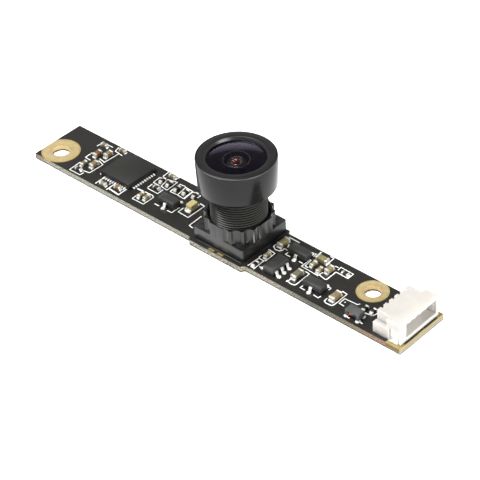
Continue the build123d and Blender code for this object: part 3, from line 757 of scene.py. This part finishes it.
def round_edges(piece, width, segments=3):
    """Break the edges of a turned piece and smooth its curved faces."""
    bpy.ops.object.select_all(action="DESELECT")
    piece.select_set(True)
    bpy.context.view_layer.objects.active = piece
    rounding = piece.modifiers.new("rounding", "BEVEL")
    rounding.width = width * MM
    rounding.segments = segments
    rounding.limit_method = "ANGLE"
    rounding.angle_limit = EDGE_ANGLE
    bpy.ops.object.modifier_apply(modifier=rounding.name)
    bpy.ops.object.shade_smooth_by_angle(angle=SMOOTH_ANGLE)


barrel = turned("lens_barrel_turned", [
    (REAR_BORE, BARREL_END), (THREAD_ROOT - 0.1, BARREL_END), (THREAD_ROOT, BARREL_END + 0.1),
    (THREAD_ROOT, HEAD_BOTTOM - 0.35), (THREAD_ROOT - 0.05, HEAD_BOTTOM - 0.3),
    (THREAD_ROOT - 0.05, HEAD_BOTTOM), (HEAD_LOW - 0.08, HEAD_BOTTOM), (HEAD_LOW, HEAD_BOTTOM + 0.1),
    (HEAD_HIGH, RIM_TOP - 0.14), (HEAD_HIGH - 0.04, RIM_TOP - 0.05), (HEAD_HIGH - 0.12, RIM_TOP),
    (RIM_BORE, RIM_TOP), (RIM_BORE, GLASS_TOP), (GLASS_BORE, GLASS_TOP), (GLASS_BORE, GLASS_SEAT),
    (BORE, GLASS_SEAT), (BORE, LEDGE_TOP), (REAR_BORE, LEDGE_TOP)])
round_edges(barrel, 0.03)

THREAD_START = 0.3
THREAD_FOOT = THREAD_ROOT - 0.02  # a little inside the body, so that no gap shows
THREAD_HALF = 0.165
THREAD_TURNS = 13
THREAD_STEPS = 96
THREAD_SMOOTHING = math.radians(30)
bpy.ops.object.select_all(action="DESELECT")
bpy.ops.mesh.primitive_circle_add(vertices=3, fill_type="NOTHING", location=(LENS.x * MM, LENS.y * MM, 0))
thread = bpy.context.object
thread.name = "barrel_thread"
thread_corners = ((THREAD_FOOT, -THREAD_HALF), (THREAD_CREST, 0.0), (THREAD_FOOT, THREAD_HALF))
for vertex, (radius, height) in zip(thread.data.vertices, thread_corners):
    vertex.co = (radius * MM, 0, (BARREL_END + THREAD_START + height) * MM)
winding = thread.modifiers.new("winding", "SCREW")
winding.axis = "Z"
winding.angle = 2 * math.pi
winding.screw_offset = THREAD_PITCH * MM
winding.iterations = THREAD_TURNS
winding.steps = THREAD_STEPS
winding.render_steps = THREAD_STEPS
winding.use_merge_vertices = False
bpy.ops.object.modifier_apply(modifier=winding.name)
bpy.ops.object.mode_set(mode="EDIT")
bpy.ops.mesh.select_all(action="SELECT")
bpy.ops.mesh.remove_doubles(threshold=FINE_GAP * MM)
bpy.ops.mesh.fill_holes(sides=4)
bpy.ops.mesh.select_all(action="SELECT")
bpy.ops.mesh.normals_make_consistent(inside=False)
bpy.ops.object.mode_set(mode="OBJECT")
bpy.ops.object.transform_apply(location=True, rotation=True, scale=True)
bpy.ops.object.shade_smooth_by_angle(angle=THREAD_SMOOTHING)
barrel.select_set(True)
bpy.context.view_layer.objects.active = barrel
bpy.ops.object.join()

barrel_black, barrel_shader = new_finish("blackened_brass", Roughness=0.2, Specular_IOR_Level=0.23)
blacking = mottle(barrel_black, on_piece(barrel_black, (1, 1, 6)), 1.6, seen(11, 11, 11), seen(17, 17, 17),
                  detail=4.0)
# The thread's crests are painted lighter: wear on the crests, and a painted sheen for the light they catch.
thread_share = fraction(barrel_black, axis_distance(barrel_black, (LENS.x, LENS.y)),
                        THREAD_ROOT - 0.05, THREAD_CREST + 0.1)
thread_wear_and_sheen = shade(barrel_black, thread_share, [
    (0.0, BLACK), (0.3, seen(20, 20, 20)), (0.75, WHITE), (0.85, WHITE), (0.9, BLACK)])
blacking = blend(barrel_black, thread_wear_and_sheen, blacking, seen(70, 70, 66))
# The top edge of the rim is painted lighter: wear, and a painted highlight along the edge.
rim_share = fraction(barrel_black, axis_place(barrel_black, "Z"), RIM_TOP - 0.2, RIM_TOP)
rim_wear_and_highlight = shade(barrel_black, rim_share, [(0.5, BLACK), (0.65, WHITE), (0.85, WHITE), (0.95, BLACK)])
blacking = blend(barrel_black, rim_wear_and_highlight, blacking, seen(66, 66, 64))
feed(barrel_black, barrel_shader.inputs["Base Color"], blacking)
tool_marks = cloud(barrel_black, on_piece(barrel_black, (1, 1, 14)), 0.3, detail=4.0)
relief(barrel_black, barrel_shader, tool_marks, 0.004, 0.25)
cover(barrel, barrel_black)
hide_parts("lens_barrel")
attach(barrel, "root")

RING_FOOT = 3.6
RING_MOUTH = 3.82
RING_OUTER = 4.76
RING_TOP = GLASS_TOP + 0.4
ring = turned("front_retaining_ring_turned", [
    (RING_FOOT, GLASS_TOP), (RING_OUTER, GLASS_TOP), (RING_OUTER, RING_TOP), (RING_MOUTH, RING_TOP)])
round_edges(ring, 0.05)
ring_black = clouded_finish("ring_blacking", (20, 20, 20), (26, 26, 26), lump=1.2, grain=0.1,
                            depth=0.004, strength=0.4, detail=4.0, grain_detail=2.0, Roughness=0.32,
                            Specular_IOR_Level=0.4)
cover(ring, ring_black)
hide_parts("front_retaining_ring")
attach(ring, "root")


# Lenses, spacers and stop: ground and coated glass, each edge and flat rim inked black, stacked
# in the barrel with a thin stop and two black spacers. The upper spacer is turned in steps that
# trap stray light.

STACK_RADIUS = 2.9
REAR_GLASS_TOP = 5.8
LOWER_SPACER_TOP = 8.2
STOP_TOP = 8.35
SECOND_GLASS_TOP = 10.3
INNER_STEPS = 128
FACE_ANGLE = math.radians(20)


def cap_points(radius, clear, level, sign, count=10):
    """Points of a ground face from its clear radius in towards the axis, and the level of its pole."""
    sag = abs(radius) - math.sqrt(radius ** 2 - clear ** 2)
    turn = 1 if radius > 0 else -1
    points = []
    for step in range(count):
        reach = clear * (1 - step / count)
        height = sag - (abs(radius) - math.sqrt(radius ** 2 - reach ** 2))
        points.append((reach, level + sign * turn * height))
    return points, level + sign * turn * sag


def ground_lens(name, radius, bottom, top, front, rear=None):
    """A lens turned from its front pole over its edge to its rear pole."""
    face, front_pole = cap_points(*front, top, 1)
    profile = list(reversed(face)) + [(radius, top), (radius, bottom)]
    if rear:
        hollow, rear_pole = cap_points(*rear, bottom, -1)
        profile += hollow
    else:
        profile += [(radius / 2, bottom)]
        rear_pole = bottom
    piece = turned(name + "_ground", profile, INNER_STEPS, front_pole, rear_pole)
    bpy.ops.object.shade_smooth_by_angle(angle=FACE_ANGLE)
    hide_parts(name)
    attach(piece, "root")
    return piece


coating_front = [(0.35, seen(216, 184, 252)), (0.65, seen(200, 172, 246))]
coating_hollow = [(0.35, seen(176, 92, 58)), (0.65, seen(196, 112, 76))]
coating_second = [(0.35, seen(255, 132, 70)), (0.65, seen(255, 170, 110))]
coating_rear = [(0.35, seen(130, 220, 140)), (0.65, seen(170, 240, 160))]
front_glass = glass_finish("front_glass", (0.98, 0.98, 0.97, 1), coating_front, 1.7)
hollow_glass = glass_finish("front_glass_hollow", (0.98, 0.98, 0.97, 1), coating_hollow, 1.7)
second_glass = glass_finish("second_glass", (0.97, 0.96, 0.93, 1), coating_second, 1.75)
rear_glass = glass_finish("rear_glass", (0.95, 0.97, 0.94, 1), coating_rear, 1.62)
edge_ink, edge_shader = new_finish("lens_edge_ink", Roughness=0.6, Specular_IOR_Level=0.04)
ink_tone = mottle(edge_ink, on_piece(edge_ink), 0.3, seen(6, 6, 8), seen(12, 12, 14))
# A light ring painted on the ink round the clear glass of the hollow is a painted highlight.
ink_reach = fraction(edge_ink, axis_distance(edge_ink, (LENS.x, LENS.y)), 1.4, 2.0)
painted_rim_highlight = shade(edge_ink, ink_reach, [(0.1, BLACK), (0.16, WHITE), (0.28, WHITE), (0.4, BLACK)])
feed(edge_ink, edge_shader.inputs["Base Color"], blend(edge_ink, painted_rim_highlight, ink_tone, seen(66, 64, 68)))
lenses = [
    # name, radius, seat, top of the edge, radius and clear radius of the front face, the same of
    # the hollow at the rear where there is one, glass
    ("front_lens", 4.3, GLASS_SEAT, GLASS_TOP, (16.0, 3.6), (-1.9, 1.5), front_glass),
    ("second_lens", STACK_RADIUS, STOP_TOP, SECOND_GLASS_TOP, (5.0, 1.9), None, second_glass),
    ("rear_lens", STACK_RADIUS, LEDGE_TOP, REAR_GLASS_TOP, (4.2, 2.0), None, rear_glass),
]
INKED_FACES = 1  # places of the two further finishes on a lens
HOLLOW_FACES = 2
FLAT_RIM = 0.8  # share of a flat rear that is clear
STEEP = 0.3  # a face that points up or down less than this is part of the edge
LEVEL = 0.9
for lens_name, lens_radius, low, high, front_face, rear_face, glass in lenses:
    lens = ground_lens(lens_name, lens_radius, low, high, front_face, rear_face)
    cover(lens, glass)
    lens.data.materials.append(edge_ink)
    if rear_face:
        lens.data.materials.append(hollow_glass)
    clear = rear_face[1] if rear_face else lens_radius * FLAT_RIM
    for face in lens.data.polygons:
        centre = face.center
        reach = math.hypot(centre.x / MM - LENS.x, centre.y / MM - LENS.y)
        edge = abs(face.normal.z) < STEEP
        rear_rim = face.normal.z < -LEVEL and reach > clear
        if (edge and reach > front_face[1]) or rear_rim:
            face.material_index = INKED_FACES
        elif rear_face and face.normal.z < 0:
            face.material_index = HOLLOW_FACES

stop_black = clouded_finish("spacer_black", (44, 44, 45), (58, 58, 58), lump=1.4, grain=0.06, depth=0.012,
                            strength=0.7, Roughness=0.4, Specular_IOR_Level=0.45)
dress(stop_black, "aperture_stop")

TRAP_DEPTH = 0.64
TRAP_MOUTH = 1.6
TRAP_TAPER = 0.85
TRAP_STEPS = 4
TRAP_LIP = 0.14
TRAP_FOOT = 1.95
LOWER_SPACER_BORE = 2.4
trap = [(TRAP_MOUTH, GLASS_SEAT)]
for step in range(1, TRAP_STEPS + 1):
    share = step / TRAP_STEPS
    inner = TRAP_MOUTH - TRAP_TAPER * share
    level = GLASS_SEAT - TRAP_DEPTH * share
    trap += [(inner + TRAP_LIP, level), (inner, level)]
trap += [(TRAP_FOOT, SECOND_GLASS_TOP), (STACK_RADIUS, SECOND_GLASS_TOP), (STACK_RADIUS, GLASS_SEAT)]
baffle = turned("lens_spacers_turned", trap, INNER_STEPS)
turned("lower_spacer", [
    (LOWER_SPACER_BORE, REAR_GLASS_TOP), (STACK_RADIUS, REAR_GLASS_TOP), (STACK_RADIUS, LOWER_SPACER_TOP),
    (LOWER_SPACER_BORE, LOWER_SPACER_TOP)], INNER_STEPS)
baffle.select_set(True)
bpy.context.view_layer.objects.active = baffle
bpy.ops.object.join()
round_edges(baffle, 0.02, 2)
trap_black, trap_shader = new_finish("trap_blacking", Roughness=0.4, Specular_IOR_Level=0.4)
# The top and bottom lips of the trap are painted light: painted highlights on their edges.
trap_share = fraction(trap_black, axis_place(trap_black, "Z"), GLASS_SEAT - TRAP_DEPTH, GLASS_SEAT)
painted_lip_highlights = shade(trap_black, trap_share, [(0.04, WHITE), (0.12, BLACK), (0.86, BLACK), (0.93, WHITE)])
trap_tone = mottle(trap_black, on_piece(trap_black), 0.4, seen(22, 22, 24), seen(32, 32, 34))
trap_tone = blend(trap_black, painted_lip_highlights, trap_tone, seen(104, 102, 106))
feed(trap_black, trap_shader.inputs["Base Color"], trap_tone)
cover(baffle, trap_black)
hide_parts("lens_spacers")
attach(baffle, "root")


# Floor, lights and camera: a white paper floor in a studio that is bright near the floor and
# dark above, a large soft light overhead to the left, a second one low beyond the connector
# end, and the camera above that end.

FLOOR_SIZE = 3.0
FLOOR_GAP = 0.02
bpy.ops.object.select_all(action="DESELECT")
bpy.ops.mesh.primitive_plane_add(size=FLOOR_SIZE, location=(0, 0, -FLOOR_GAP * MM))
floor = bpy.context.object
floor.name = "floor"
paper, paper_shader = new_finish("floor_paper", Roughness=0.95, Emission_Color=WHITE, Emission_Strength=0.25)
feed(paper, paper_shader.inputs["Base Color"],
     mottle(paper, on_piece(paper), 30.0, seen(250, 250, 250), seen(252, 252, 252)))
floor.data.materials.append(paper)

world = bpy.data.worlds.new("studio")
bpy.context.scene.world = world
world.use_nodes = True
sky = world.node_tree
direction = sky.nodes.new("ShaderNodeTexCoord")
part = sky.nodes.new("ShaderNodeSeparateXYZ")
rise = sky.nodes.new("ShaderNodeValToRGB")
sky.links.new(direction.outputs["Generated"], part.inputs["Vector"])
sky.links.new(part.outputs["Z"], rise.inputs["Fac"])
sky.links.new(rise.outputs["Color"], sky.nodes["Background"].inputs["Color"])
brightness = ((16, 1.0), (21, 0.8), (26.5, 0.42), (28.5, 0.14), (60, 0.1))  # elevation in degrees, light
marks = rise.color_ramp.elements
while len(marks) < len(brightness):
    marks.new(1.0)
for mark, (elevation, light) in zip(marks, brightness):
    mark.position = math.sin(math.radians(elevation))
    mark.color = (light, light, light, 1.0)


def panel_light(name, place, target, size, power):
    """A flat soft light aimed at a point."""
    light = bpy.data.lights.new(name, "AREA")
    light.shape = "RECTANGLE"
    light.size, light.size_y = size
    light.energy = power
    lamp = bpy.data.objects.new(name, light)
    bpy.context.scene.collection.objects.link(lamp)
    lamp.location = place
    lamp.rotation_mode = "QUATERNION"
    lamp.rotation_quaternion = (Vector(target) - Vector(place)).to_track_quat("-Z", "Y")


panel_light("key_light", place=(-0.10, -0.10, 0.36), target=(0, 0, 0), size=(0.3, 0.3), power=2.75)
panel_light("right_card", place=(0.34, -0.02, 0.12), target=(0.03, 0, 0), size=(0.22, 0.22), power=2.0)

camera_azimuth = math.radians(44.10)
camera_elevation = math.radians(38.34)
camera_roll = math.radians(-3.09)
camera_distance = 235.64 * MM
camera_target = Vector((1.994, 0.074, 0.0)) * MM
back = Vector((math.sin(camera_azimuth) * math.cos(camera_elevation),
               -math.cos(camera_azimuth) * math.cos(camera_elevation), math.sin(camera_elevation)))
right = (-back).cross(Vector((0, 0, 1))).normalized()
up = right.cross(-back)
rolled_right = math.cos(camera_roll) * right + math.sin(camera_roll) * up
rolled_up = -math.sin(camera_roll) * right + math.cos(camera_roll) * up
camera_data = bpy.data.cameras.new("camera")
camera_data.sensor_width = 36.0
camera_data.lens = 145.245
camera_data.clip_start = 0.01
camera_data.clip_end = 10.0
camera = bpy.data.objects.new("camera", camera_data)
bpy.context.scene.collection.objects.link(camera)
turn = Matrix((rolled_right, rolled_up, back)).transposed()
camera.matrix_world = Matrix.Translation(camera_target + back * camera_distance) @ turn.to_4x4()
bpy.context.scene.camera = camera
bpy.context.scene.view_settings.view_transform = "Standard"
